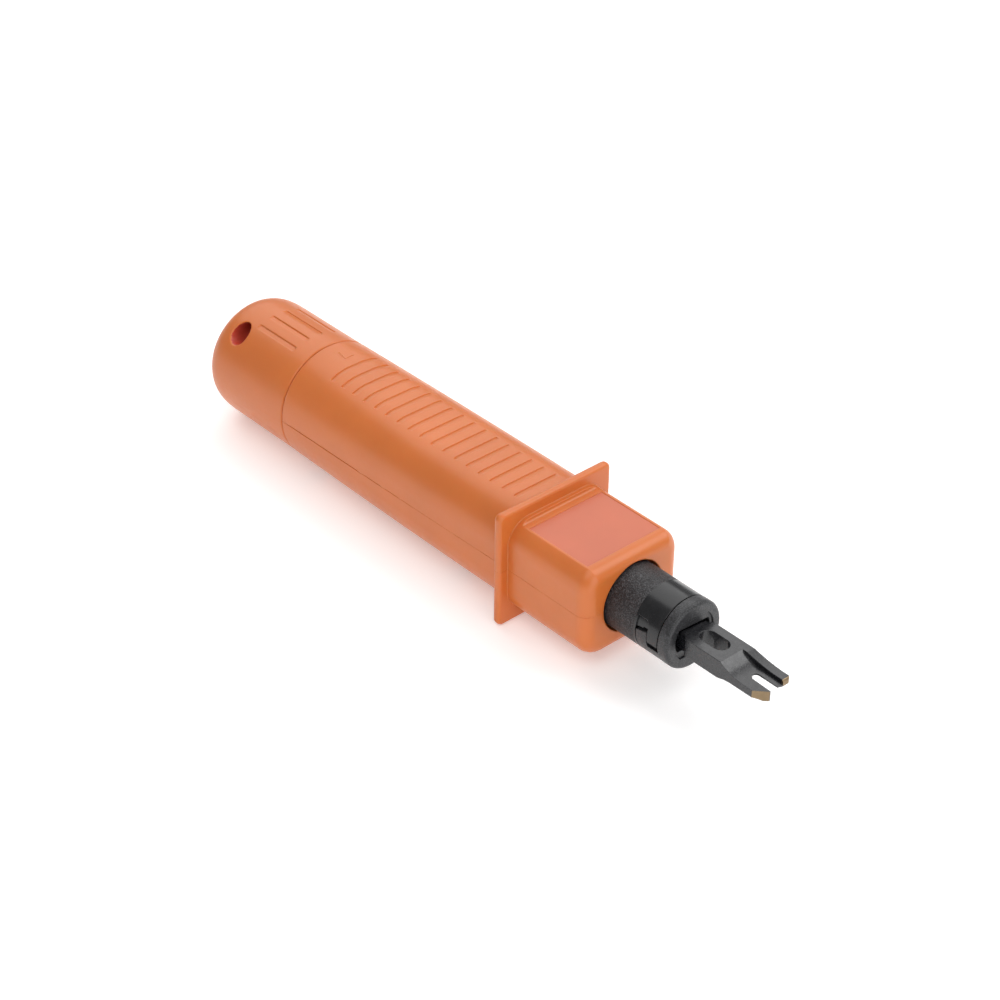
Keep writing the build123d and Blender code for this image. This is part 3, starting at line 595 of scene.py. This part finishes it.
def orange_plastic(name, color, roughness, uneven, grain):
    """Moulded plastic with slight clouds, uneven gloss and light that enters it."""
    material, shader = new_material(name, color, roughness)
    darker = tuple(c * 0.95 for c in color)
    lighter = tuple(min(c * 1.04, 1) for c in color)
    cloud = noise(material, scale=60, detail=4)
    link(material, color_ramp(material, cloud, [(0.35, darker), (0.65, lighter)]),
         shader.inputs["Base Color"])
    fine = noise(material, scale=900, detail=2)
    low, high = (roughness - uneven,) * 3, (roughness + uneven,) * 3
    link(material, color_ramp(material, fine, [(0.3, low), (0.7, high)]), shader.inputs["Roughness"])
    skin = noise(material, scale=4500, detail=2)
    bump(material, shader, skin, strength=grain, distance=0.02 * MM)
    shader.inputs["Subsurface Weight"].default_value = 0.25
    shader.inputs["Subsurface Radius"].default_value = (1.0, 0.25, 0.08)
    shader.inputs["Subsurface Scale"].default_value = 0.001
    return material


def speckled_black(name, base, speck, roughness, scale, height, specular=0.5):
    """Black with fine specks: textured or satin plastic, rubber or oxide."""
    material, shader = new_material(name, base, roughness, specular)
    specks = noise(material, scale, 3)
    link(material, color_ramp(material, specks, [(0.45, base), (0.72, speck)]),
         shader.inputs["Base Color"])
    low, high = (roughness - 0.05,) * 3, (roughness + 0.08,) * 3
    link(material, color_ramp(material, noise(material, scale / 3), [(0.3, low), (0.7, high)]),
         shader.inputs["Roughness"])
    bump(material, shader, specks, strength=height, distance=0.08 * MM)
    return material


def metal(name, color, roughness, stretch=(1, 1, 1), scale=1500):
    """Bare or plated metal with a fine grain."""
    material, shader = new_material(name, color, roughness)
    shader.inputs["Metallic"].default_value = 1.0
    grain = noise(material, scale, 3, stretch)
    low, high = (roughness - 0.08,) * 3, (roughness + 0.12,) * 3
    link(material, color_ramp(material, grain, [(0.3, low), (0.7, high)]), shader.inputs["Roughness"])
    dull = tuple(c * 0.85 for c in color)
    link(material, color_ramp(material, noise(material, 300), [(0.3, dull), (0.7, color)]),
         shader.inputs["Base Color"])
    bump(material, shader, grain, strength=0.15, distance=0.02 * MM)
    return material


shell = orange_plastic("orange_abs", (0.59, 0.152, 0.030),
                       roughness=0.36, uneven=0.04, grain=0.2)
panel = orange_plastic("orange_polished", (0.54, 0.12, 0.047),
                       roughness=0.30, uneven=0.008, grain=0.02)
# Darker, redder orange for the lanyard hole's inner wall: painted shade.
hole_painted_shade = orange_plastic("orange_painted_hole_shade", (0.50, 0.055, 0.030),
                           roughness=0.4, uneven=0.04, grain=0.2)
barrel_rough = speckled_black("black_spark_texture", (0.002, 0.001, 0.002), (0.08, 0.08, 0.085),
                              roughness=0.55, scale=4200, height=0.9)
barrel_smooth = speckled_black("black_satin", (0.004, 0.004, 0.005), (0.008, 0.008, 0.009),
                               roughness=0.24, scale=600, height=0.03)
collar_black = speckled_black("black_fine_texture", (0.008, 0.008, 0.009), (0.06, 0.06, 0.065),
                              roughness=0.36, scale=4500, height=0.8)
oxide = speckled_black("black_oxide", (0.010, 0.010, 0.012), (0.024, 0.024, 0.027),
                       roughness=0.25, scale=2600, height=0.2, specular=0.7)
bare_tip = metal("bare_ground_steel", (0.29, 0.21, 0.125),
                 roughness=0.45, stretch=(1, 1, 6), scale=700)
steel = metal("machined_steel", (0.56, 0.56, 0.57), roughness=0.3)
wire = metal("spring_wire", (0.42, 0.42, 0.44), roughness=0.32)
zinc = metal("zinc_plated_steel", (0.62, 0.63, 0.66), roughness=0.28)
brass = metal("turned_brass", (0.72, 0.50, 0.22), roughness=0.27)
rubber = speckled_black("moulded_rubber", (0.02, 0.02, 0.02), (0.04, 0.04, 0.04),
                        roughness=0.7, scale=3000, height=0.4)

NODE_MATERIALS = {
    "casing_screws": zinc, "sear_ramp": steel, "bumper_ring": rubber, "web_washer": steel,
    "cap_seal": rubber, "adjuster_screw": zinc, "adjuster_nut": brass, "nut_washer": steel,
    "main_spring": wire, "hammer": steel, "sear": steel, "sear_spring": wire,
    "return_spring": wire, "plunger_rod": steel, "barrel_pin": steel, "blade_holder": oxide,
    "blade_latch": wire,
}
for node, material in NODE_MATERIALS.items():
    data = frame["nodes"][node].data
    data.materials.clear()
    data.materials.append(material)

# ---- detailed pieces, each on a grid with zones of (start, end, step) where it has detail ----

rib_zones = []
for i in range(RIBS):
    wall = RIB_FIRST + i * RIB_PITCH
    rib_zones += [(wall - 0.2, wall + 0.2, 0.06), (wall + 1.0, wall + 1.4, 0.2)]
CASING_X = spacing(-70.2, 24.7, 0.55, rib_zones + [
    (-70.0, -69.5, 0.1),   # rear edge
    (-66.6, -63.4, 0.11),  # index tick
    (-0.7, 0.6, 0.1),      # rear of the flange
    (1.3, 2.6, 0.1),       # front of the flange
    (2.6, 4.5, 0.15),      # step behind the panel
    (4.6, 4.8, 0.04),      # rear edge of the panel
    (21.0, 21.4, 0.05),    # front edge of the panel
    (21.4, 24.5, 0.17),    # round front of the nose
])
SIDE_ZONES = [
    (5.5, 7.1, 0.16),      # ends of the ribs
    (9.62, 9.86, 0.04),    # side of the panel
    (10.0, 10.2, 0.06),    # where the panel's level meets the nose's round corner
    (12.2, 13.0, 0.16),    # sides of the grip and the nose
    (14.3, 15.1, 0.1),     # side of the flange
]
MIRRORED_ZONES = [(-end, -start, step) for start, end, step in SIDE_ZONES]
TICK_ZONE = (-1.0, 1.9, 0.1)
CASING_Y = spacing(-15.3, 15.3, 0.55, SIDE_ZONES + MIRRORED_ZONES + [TICK_ZONE])
UPPER_Z = spacing(-0.05, 13.9, 0.55, [
    (0.0, 0.14, 0.03),     # parting edge
    (0.14, 0.3, 0.08),     # beside the parting edge
    (6.9, 7.4, 0.2),       # top of the bore
    (9.85, 10.15, 0.05),   # panel
    (10.5, 10.9, 0.12),    # top of the nose
    (11.2, 13.7, 0.14),    # top of the grip and the flange
])
upper = show("upper_shell", upper_shell, (CASING_X, CASING_Y, UPPER_Z), shell, panel)
show("lower_shell", lower_shell, (CASING_X, CASING_Y, -UPPER_Z[::-1]), shell)
paint(upper, 1, on_panel)

CAP_X = spacing(-99.5, -63.4, 0.45, [
    (-99.4, -96, 0.2),     # tip
    (-95, -87.4, 0.2),     # lanyard hole and rear ends of the flutes
    (-76.2, -75, 0.12),    # front ends of the flutes
    (-70.8, -70, 0.1),     # front edge
])
flute_walls = sorted(side * CAP_R * math.sin(math.radians(angle))
                     for angle in FLUTE_ANGLES for side in (1, -1))
CAP_Y = spacing(-13.9, 13.9, 0.3, [(wall - 0.3, wall + 0.3, 0.07) for wall in flute_walls])
CAP_Z = spacing(-13.9, 13.9, 0.4, [
    (-13.8, -12.4, 0.12),  # flutes below
    (12.4, 13.8, 0.12),    # flutes on top
    (7, 12.4, 0.25),       # lanyard hole
])
cap = show("tail_cap", tail_cap, (CAP_X, CAP_Y, CAP_Z), shell, hole_painted_shade)
# The lanyard hole's inner wall gets the darker red: painted shade.
paint(cap, 1, painted_shade_in_lanyard_hole)

BARREL_GRID_X = spacing(-3.5, 38.5, 0.5, [
    (-3.4, -3.0, 0.1),     # rear edge
    (-1.5, -1.0, 0.1),     # shoulder
    (32.2, 32.5, 0.06),    # rear edge of the opening
    (32.5, 35.2, 0.14),    # head of the opening
    (35.2, 35.6, 0.06),    # front edge of the opening's head
    (37.9, 38.4, 0.06),    # front edge
])
BARREL_YZ = spacing(-8.9, 8.9, 0.25)
barrel = show("barrel_sleeve", barrel_sleeve, (BARREL_GRID_X, BARREL_YZ, BARREL_YZ),
              barrel_rough, barrel_smooth)
paint(barrel, 1, on_smooth_barrel)
COLLAR_GRID_X = spacing(32.0, 41.2, 0.15, [
    (38.3, 38.6, 0.05),    # rear edge
    (39.9, 41.1, 0.08),    # round front and the opening's step
])
COLLAR_YZ = spacing(-7.7, 7.7, 0.13)
show("barrel_collar", barrel_collar, (COLLAR_GRID_X, COLLAR_YZ, COLLAR_YZ), collar_black)

BLADE_X = spacing(11.9, 62.4, 0.25, [
    (39.8, 43.5, 0.1),     # notch and shoulders
    (50.8, 54.5, 0.09),    # ramps
    (56.5, 57.6, 0.08),    # rear end of the fork's slot
    (59.5, 62.3, 0.07),    # bevel and tips
])
BLADE_Y = spacing(-4.2, 4.2, 0.12, [
    (-4.1, -3.8, 0.05),    # side
    (-3.15, -2.95, 0.05),  # waist
    (-1.45, -1.25, 0.04),  # fork's slot
    (0.35, 0.55, 0.04),    # fork's slot
    (1.5, 2.1, 0.05),      # groove and rail
    (2.95, 3.15, 0.05),    # waist
    (3.5, 4.1, 0.06),      # side
])
BLADE_Z = spacing(-2.3, 2.3, 0.11, [
    (-2.2, -1.9, 0.05),    # bottom
    (-0.2, 0.5, 0.06),     # floor of the fork
    (1.9, 2.2, 0.05),      # top
])
tool_bit = show("blade", blade, (BLADE_X, BLADE_Y, BLADE_Z), oxide, bare_tip)
paint(tool_bit, 1, on_bare_steel)


# ---- floor, light and camera ----

def add_floor():
    """White floor that glows a little, so that it stays white between the lamps."""
    bpy.ops.mesh.primitive_plane_add(size=FLOOR_SIZE)
    floor = bpy.context.object
    floor.name = "floor"
    material, shader = new_material("floor_white", (0.9, 0.9, 0.9), 0.9)
    shader.inputs["Emission Color"].default_value = (1, 1, 1, 1)
    shader.inputs["Emission Strength"].default_value = FLOOR_GLOW
    floor.data.materials.append(material)


def add_light(name, place, size, power):
    """Round lamp that points at the tool from a place measured from it."""
    data = bpy.data.lights.new(name, "AREA")
    data.shape, data.size, data.energy = "DISK", size, power
    lamp = bpy.data.objects.new(name, data)
    lamp.location = ORIGIN + Vector(place)
    lamp.rotation_euler = Vector(place).to_track_quat("Z", "Y").to_euler()
    lamp.visible_camera = False
    bpy.context.scene.collection.objects.link(lamp)


def add_world():
    world = bpy.data.worlds.new("studio")
    world.use_nodes = True
    background = world.node_tree.nodes["Background"]
    background.inputs["Color"].default_value = (1, 1, 1, 1)
    background.inputs["Strength"].default_value = WORLD_LIGHT
    bpy.context.scene.world = world


def add_camera():
    """Camera that stands where the reference view was taken from."""
    azimuth, elevation, roll = (math.radians(a) for a in (AZIMUTH, ELEVATION, ROLL))
    back = Vector((math.sin(azimuth) * math.cos(elevation),
                   -math.cos(azimuth) * math.cos(elevation), math.sin(elevation)))
    level = Vector((math.cos(azimuth), math.sin(azimuth), 0))
    upright = back.cross(level)
    right = level * math.cos(roll) + upright * math.sin(roll)
    up = upright * math.cos(roll) - level * math.sin(roll)
    data = bpy.data.cameras.new("camera")
    data.lens, data.sensor_width = LENS, SENSOR
    camera = bpy.data.objects.new("camera", data)
    camera.matrix_world = Matrix.Translation(CAMERA_AT) @ Matrix(
        (right, up, back)).transposed().to_4x4()
    bpy.context.scene.collection.objects.link(camera)
    bpy.context.scene.camera = camera


add_floor()
for lamp in LAMPS:
    add_light(*lamp)
add_world()
bpy.context.scene.view_settings.view_transform = "Standard"
add_camera()

bpy.context.view_layer.update()
